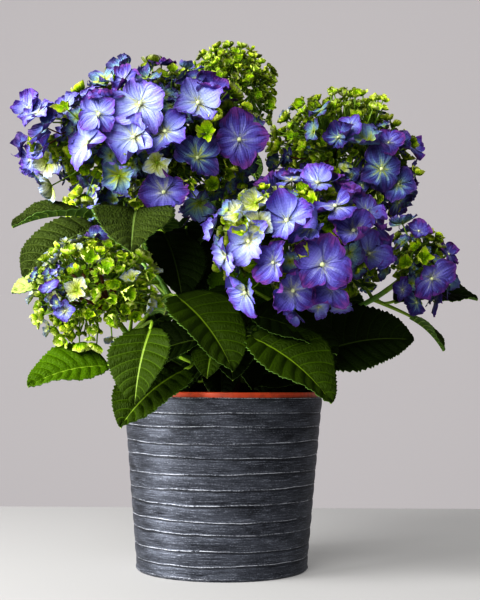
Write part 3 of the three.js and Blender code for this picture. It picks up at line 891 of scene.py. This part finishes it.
# ---- Blooms ----
# A bloom is a dome of florets. Its stem forks at a hub into rays, and each ray into thin stalks that
# carry a floret of four broad sepals round a small bead. Young florets are lime-green cups, and open
# ones turn from a pale middle through blue to a violet edge.
tints = {
    "sky": "d0d4a2 b6c2dc a2ace0 9499de 8783d2 7460b0",
    "blue": "ced4a6 a6b2dc 8f94dc 7f7fcc 716bc0 6f4da4",
    "violet": "bcc0c6 9092d0 7470c0 6058ac 563f90 764490",
    "ink": "bccc84 84a0b4 5e6ca6 484c8a 44387a 5e4886",
    "teal": "c8da48 bcd094 9cbcb4 82a2bc 7488b6 6a5e9c",
    "pale": "a8bc30 c4d064 d2dc94 d2d8ac c8d0c2 a8b6d0",
    "lime": "6a9008 88b006 a6d00a c2e616 daf036 eaf670",
    "spring": "7cac0c 98cc10 b2e218 caf02c def850 effc98",
    "moss": "465a04 627c04 80a00a 9cb816 b2c43a a4ac78",
}

# How far young sepals close, in radians, and their half width over their length. Others are
# flatter and broader.
closing = {"teal": 0.6, "pale": 0.8, "spring": 1.5, "lime": 1.5, "moss": 1.3}
broad = {"spring": 0.48, "lime": 0.46, "moss": 0.5, "pale": 0.52, "teal": 0.52}
widest = 0.56  # the share of a sepal's length where it is widest
zones = 11  # steps of colour from a sepal's foot to its edge
bead_finish = zones * len(tints)

# The florets that face the front: how far right and up of the middle, radius and tint.
front_florets = {
    "left": (
        (3, 16, 21, "sky"), (51, 18, 19, "sky"), (25, -9, 20, "blue"), (-2, -14, 20, "sky"),
        (-42, -18, 21, "blue"), (-77, -2, 18, "ink"), (-32, 6, 17, "blue"), (-25, 22, 12, "violet"),
        (8, 38, 11, "teal"), (28, 43, 10, "moss"), (45, 38, 11, "ink"), (62, 32, 17, "violet"),
        (84, -9, 22, "violet"), (50, -28, 18, "ink"), (22, -54, 20, "violet"), (-15, -43, 16, "teal"),
        (43, -46, 8, "lime"), (61, -46, 9, "lime"), (57, -8, 10, "lime"), (65, 5, 11, "lime"),
        (-59, 12, 8, "lime"), (-76, -28, 13, "pale"), (-74, -45, 14, "pale"), (-43, -55, 9, "moss"),
        (17, -33, 11, "pale"), (-5, -32, 9, "lime"), (50, -58, 15, "teal"),
        (-95, 20, 15, "blue"), (-99, -12, 12, "ink"), (-90, -34, 13, "teal"), (-86, -14, 9, "lime"),
        (-84, 12, 14, "sky"), (-80, -16, 15, "blue"), (-92, -24, 14, "blue"),
    ),
    "front": (
        (-10, 11, 21, "blue"), (-40, -6, 18, "sky"), (-40, -44, 19, "blue"), (-57, -17, 15, "sky"),
        (-20, -23, 16, "violet"), (11, 7, 19, "blue"), (16, 43, 15, "blue"), (30, 23, 18, "violet"),
        (45, 3, 20, "violet"), (20, -25, 22, "violet"), (-4, -44, 20, "violet"), (-2, -57, 13, "blue"),
        (27, -41, 16, "violet"), (-34, 25, 13, "pale"), (-47, 16, 12, "pale"), (-32, 8, 11, "pale"),
        (-42, 3, 9, "lime"), (-66, 6, 11, "sky"), (18, -54, 9, "sky"), (37, -53, 10, "sky"),
    ),
    "upper_right": (
        (-30, 38, 10, "teal"), (-36, 19, 10, "teal"), (-4, 23, 12, "blue"), (-15, 12, 14, "ink"),
        (13, 8, 17, "teal"), (26, -17, 19, "ink"), (42, -28, 15, "ink"), (32, 8, 12, "violet"),
        (43, 10, 10, "ink"), (53, 10, 8, "moss"), (59, -17, 9, "lime"), (-62, 44, 8, "pale"),
        (-58, 35, 8, "lime"), (21, -42, 7, "moss"), (-10, -17, 5, "pale"), (-66, 22, 9, "moss"),
        (-64, 8, 9, "lime"), (-66, -6, 10, "teal"), (-62, -22, 9, "moss"), (-44, 48, 9, "lime"),
    ),
    "right": (
        (-14, 38, 14, "teal"), (-3, 30, 11, "violet"), (-15, 1, 8, "lime"), (0, 5, 10, "lime"),
        (8, -13, 18, "violet"), (-17, -22, 10, "violet"), (-30, -2, 11, "teal"),
    ),
    "low_left": (
        (-22, 35, 6, "pale"), (-10, -5, 10, "pale"), (-44, 7, 7, "teal"), (-32, -2, 8, "blue"),
        (-26, 10, 6, "sky"), (-26, -14, 6, "ink"), (-19, -21, 8, "blue"), (2, 42, 10, "ink"),
        (45, -14, 8, "pale"), (50, 13, 7, "pale"), (-36, 20, 7, "spring"), (-38, -23, 7, "spring"),
        (-50, -28, 8, "spring"), (-40, -38, 8, "pale"), (-27, -46, 8, "spring"), (-13, -52, 9, "spring"),
        (3, -48, 8, "spring"), (16, -40, 8, "pale"), (14, 12, 9, "spring"), (30, -8, 9, "spring"),
        (20, -26, 8, "spring"), (38, 24, 8, "spring"), (0, 22, 9, "spring"), (34, 6, 8, "pale"),
    ),
}

# How far the florets cover each bloom, in degrees from its lean, and its patches: each the way it
# faces, the radius of its florets, their tints in turn, and how far out they stand where it is less.
patches = {
    "left": (127, [
        ((0, -0.3, 1), 14, "teal blue moss violet"),
        ((-0.8, -0.2, 0.9), 12, "blue lime sky", 0.8),
        ((0, -1, 0), 17, "blue sky teal"),
        ((0, 1, 0.2), 18, "blue sky violet"),
        ((1, -0.4, -0.6), 9, "lime moss teal"),
    ]),
    "upper_right": (122, [
        ((-0.6, -0.3, 0.8), 7.8, "spring lime moss", 1.04),
        ((0.75, 0, 0.65), 7, "moss lime teal", 0.84),
        ((0.1, -0.1, 1), 7, "spring moss lime"),
        ((0.9, -0.5, 0.1), 14, "ink teal violet"),
        ((-0.4, -0.8, -0.6), 8, "moss ink lime"),
        ((0.2, 1, 0.2), 16, "blue teal ink"),
    ]),
    "right": (120, [
        ((0.6, -0.8, -0.2), 13, "violet ink"),
        ((-0.2, -0.5, 1), 8, "lime moss teal", 0.86),
        ((0.3, 1, 0), 13, "blue teal violet"),
    ]),
    "front": (116, [
        ((0, -1, 0), 19, "blue violet"),
        ((0.4, 0.4, 1), 16, "violet blue"),
        ((-0.8, -0.4, 0.6), 9, "moss teal lime", 0.78),
    ]),
    "low_left": (120, [
        ((0, 0, 1), 7.8, "spring lime spring pale"),
        ((0.5, -1, -0.4), 7, "spring spring lime"),
        ((-1, -0.4, 0), 8.2, "spring lime teal spring pale"),
    ]),
    "back_left": (115, [((0, 0, 1), 17, "blue sky violet"), ((-1, 0, -0.5), 11, "teal lime")]),
    "back": (115, [((0, 1, 1), 17, "sky blue teal"), ((0, 1, -1), 12, "violet teal")]),
    "back_right": (115, [((0, 1, 1), 16, "violet blue"), ((1, 0, -0.5), 9, "lime moss teal")]),
    "top": (112, [((0, 0, 1), 6.6, "spring lime moss"), ((0, 0, -1), 7, "spring moss")]),
}


def dome_directions(bloom, count, spread):
    """Unit directions spread evenly over a dome about the bloom's lean, in a golden spiral."""
    golden_angle = pi * (3 - sqrt(5))
    i = np.arange(count)
    height = 1 - (i + 0.5) / count * (1 - cos(radians(spread)))
    angle = i * golden_angle
    out = np.sqrt(1 - height ** 2)
    upright = np.stack([out * np.cos(angle), out * np.sin(angle), height], -1)
    leaning = Vector((0, 0, 1)).rotation_difference(Vector(bloom["lean"])).to_matrix()
    return upright @ np.array(leaning).T


def jolt(draw):
    """A random push, up to half a step each way along each axis."""
    return np.array([next(draw) for _ in "xyz"]) - 0.5


def sepal_sheet(steps_along, steps_across):
    """A sepal's grid: its points, along and across, its faces, and their own along and across."""
    along, across = np.meshgrid(
        np.linspace(0, 1, steps_along), np.linspace(-1, 1, steps_across), indexing="ij"
    )
    faces = grid_faces(steps_along, steps_across)
    return along, across, faces, along.ravel()[faces].mean(1), across.ravel()[faces].mean(1)


# The least radius that each sheet is for, and its steps: a small floret has a coarser one.
sepal_sheets = [
    (least, sepal_sheet(along, across))
    for least, along, across in ((13, 12, 11), (8.5, 8, 7), (5.5, 5, 5), (0, 4, 4))
]


def add_sepal(heap, head, normal, ahead, length, tint, drift, close, sheet, draw):
    """One sepal. It rises towards the normal by the angle close, and cups or folds along its rib."""
    along, across, faces, face_along, face_across = sheet
    beside = np.cross(normal, ahead)
    rise = close * along
    cup = 0.12 + 0.5 * (next(draw) - 0.4)
    cup *= 1.7 if next(draw) > 0.8 else 1
    near = np.sin(pi / 2 * np.minimum(along / widest, 1)) ** 1.15
    far = np.sqrt(1 - (np.maximum(along - widest, 0) / 0.64) ** 2)
    half = broad.get(tint, 0.56) * (0.9 + 0.2 * next(draw)) * (1 - 0.25 * abs(cup))
    width = half * length * across * (0.06 + 0.94 * near) * far
    tooth = 0.03 * (np.arange(along.shape[1]) % 2 - 0.5) * (along > 0.99) * (next(draw) > 0.4)
    forward = length * np.sin(rise) / close * (1 - 0.2 * across ** 2 * along ** 3)
    forward = forward * (1 + 0.06 * (1 - np.abs(across)) ** 2 * along ** 4 + tooth)
    upward = length * (1 - np.cos(rise)) / close
    phase = 6 * next(draw)
    ripple = (0.03 + 0.06 * next(draw)) * np.sin(2.6 * pi * across + phase) * along ** 1.5
    curl = 0.4 * (next(draw) - 0.6) * along ** 3
    twist = 0.25 * (next(draw) - 0.5) * across * along
    lift = length * (cup * across ** 2 * along + ripple + curl + twist)
    up = np.cos(rise)[..., None] * normal - np.sin(rise)[..., None] * ahead
    points = (
        head
        + forward[..., None] * ahead
        + width[..., None] * beside
        + upward[..., None] * normal
        + lift[..., None] * up
    )
    streak = 1.1 * np.sin(9 * face_across + phase) + 1.1 * np.sin(23 * face_across + 2 * phase)
    out = (face_along + 0.14 * face_across ** 2 * face_along + 0.16 * np.abs(face_across) ** 5) * zones
    out = out - 0.4 + drift + streak * np.sin(pi * face_along)
    zone = np.clip(out, 0, zones - 0.01).astype(int)
    chart = np.stack(np.broadcast_arrays(along, across, 40 * phase), -1)
    heap.add(points, faces, zones * list(tints).index(tint) + zone, chart)


def add_floret(heap, head, normal, radius, tint, draw):
    """Four sepals, in two pairs that cross, and a bead."""
    sheet = next(sheet for least, sheet in sepal_sheets if radius > least)
    side = unit(np.cross(normal, jolt(draw)))
    other = np.cross(normal, side)
    spin = next(draw) * pi
    loose = 0.9 if tint not in closing else 0.55
    open_angle = closing.get(tint, 0.3) + 0.4 * (next(draw) - 0.5)
    drift = 1.6 * (next(draw) - 0.5)
    for petal in range(4):
        angle = spin + petal * pi / 2 + 0.35 * (next(draw) - 0.5)
        ahead = cos(angle) * side + sin(angle) * other
        length = radius * (0.84 + 0.26 * next(draw))
        close = open_angle + loose * (next(draw) - 0.5)
        close += 0.8 * (radius > 13 and next(draw) > 0.82)
        close += 0.02 if abs(close) < 0.02 else 0  # an arc needs some bend
        foot = head + normal * 0.05 * radius * (petal % 2)
        own_drift = drift + 1.2 * (next(draw) - 0.5)
        add_sepal(heap, foot, normal, ahead, length, tint, own_drift, close, sheet, draw)
    if radius > 6:
        bead = max(0.7, 0.085 * radius)
        path = head + np.outer(np.array([0.1, 0.6, 1.1, 1.6]) * bead, normal)
        add_tube(heap, path, bead * np.array([0.6, 1, 0.85, 0.25]), 6, bead_finish + (tint in closing))


def add_stalk(heap, start, end, way, radii, finish, rings=4, sides=4):
    """A thin stalk from one point to another, which arrives along the way."""
    reach = norm(end - start)
    curve = (start, start + (end - start) * 0.4, end - way * 0.35 * reach, end)
    shares = np.linspace(0, 1, rings)
    add_tube(heap, along_curve(curve, shares), np.interp(shares, (0, 1), radii), sides, finish)


# Each layer of a bloom's florets: its depth, how often over they would cover the bloom, their size
# over their patch's, how near two may stand over their radii, and the least radius that has it.
outer_depth = 0.97
layers = ((outer_depth, 1.5, 1, 0.6, 0), (0.82, 1.4, 0.62, 0.52, 0), (0.66, 1.5, 0.66, 0.5, 9))


def floret_places(name, bloom, number, draw):
    """Each floret's head, direction, radius and tint: first the front ones, then the patches' large
    ones where there is room, then small ones deeper in the gaps."""
    found = []

    def try_floret(direction, share, radius, tint, apart_share):
        head = bloom["centre"] + direction * bloom["half"] * share
        for other, _, other_radius, _ in found:
            if norm(head - other) < apart_share * (radius + other_radius):
                return
        found.append((head, direction, radius, tint))

    for right, up, radius, tint in front_florets.get(name, ()):
        x = right / bloom["half"][0]
        z = up / bloom["half"][2]
        flat = min(hypot(x, z), 0.98)
        x, z = np.array([x, z]) * flat / max(hypot(x, z), 1e-6)
        direction = np.array([x, -sqrt(1 - flat ** 2), z])
        share = outer_depth - 0.42 * (1 - flat) * radius / reach_of(bloom, direction)
        try_floret(direction, share, 1.1 * radius, tint, 0)
    spread, parts = patches[name]
    area = 2 * pi * (1 - cos(radians(spread))) * np.mean(bloom["half"]) ** 2
    ways = np.array([unit(part[0]) for part in parts])
    for depth, cover, scale, apart_share, least in layers:
        for part, (_, radius, patch_tints, *own_depth) in enumerate(parts):
            if radius < least:
                continue
            patch_tints = patch_tints.split()
            size = max(radius * scale, min(radius, 4))
            count = int(cover * area / (pi * size ** 2))
            for i, direction in enumerate(dome_directions(bloom, count, spread)):
                direction = unit(direction + 0.25 * jolt(draw))
                if np.argmax(ways @ direction) != part:
                    continue
                tint = patch_tints[i % len(patch_tints)]
                if scale < 1 and tint in ("sky", "blue", "violet", "ink"):
                    tint = ("lime", "teal", "moss")[i % 3]
                vary = size * (0.82 + 0.36 * next(draw))
                share = depth * (own_depth or [outer_depth])[0] / outer_depth
                share -= 0.4 * vary / reach_of(bloom, direction) + 0.1 * next(draw)
                share += 0.04 * sin(9 * direction[0] + 2 * number) * sin(8 * direction[2] + 1)
                try_floret(direction, share, vary, tint, apart_share)
    return found


def sepal_look(name, code):
    """A sepal's skin, with fine veins that fan out from its foot."""
    look = Look(name, code, 0.55, 0.3)
    veins = look.noise(1, 3, 0.6, where=look.chart((0.5, 0.18, 1)))
    look.relief(look.between(veins, 0.3, 0.7), 1.5)
    return look


def blend(codes, share):
    """The code of a colour at a share of the way along some codes."""
    place = share * (len(codes) - 1)
    levels = [[int(code[i:i + 2], 16) for code in codes] for i in (0, 2, 4)]
    return "".join(f"{round(np.interp(place, range(len(codes)), level)):02x}" for level in levels)


bloom_looks = [
    sepal_look(f"{tint}_{zone}", blend(codes.split(), zone / (zones - 1)))
    for tint, codes in tints.items()
    for zone in range(zones)
]
bloom_looks += [Look("bead_cream", "dfe8b0", 0.5), Look("bead_green", "84a424", 0.5)]
stalk_looks = [Look("stalk_green", "7c9c30", 0.5), Look("stalk_red", "6a3a20", 0.5)]

towards_light = np.array([-0.3, -0.14, 0.26])  # added to the way that each floret faces
hub_share = 0.5  # how far under a bloom's centre its hub is, over its reach
fork_share = 0.46
fork_count = 11
for number, (name, bloom) in enumerate(blooms.items()):
    draw = seeded(4001 + 977 * number)
    florets = Heap()
    stalks = Heap()
    seat = shoots[name][3]
    lean = bloom["lean"]
    hub = bloom["centre"] - lean * hub_share * reach_of(bloom, lean)
    add_tube(stalks, [seat - lean, (seat + hub) / 2, hub, hub + lean * 3], [2.3, 2.2, 2.4, 1.2], 8)
    forks = []
    for direction in dome_directions(bloom, fork_count, patches[name][0] * 0.85):
        fork = bloom["centre"] + direction * bloom["half"] * fork_share
        add_stalk(stalks, hub, fork, unit(fork - hub), (1.5, 1.1), int(name == "low_left"), 5, 6)
        forks.append(fork)
    forks = np.array(forks)
    for head, direction, radius, tint in floret_places(name, bloom, number, draw):
        normal = unit(unit(direction / bloom["half"]) + 1.1 * jolt(draw) + towards_light)
        add_floret(florets, head, normal, radius, tint, draw)
        fork = forks[np.argmin(norm(forks - head, axis=1))]
        add_stalk(stalks, fork, head, normal, (0.8, 0.55), int(tint == "ink"))
    piece("florets_" + name, florets, bloom_looks, ["bloom_" + name])
    piece("stalks_" + name, stalks, stalk_looks, [])
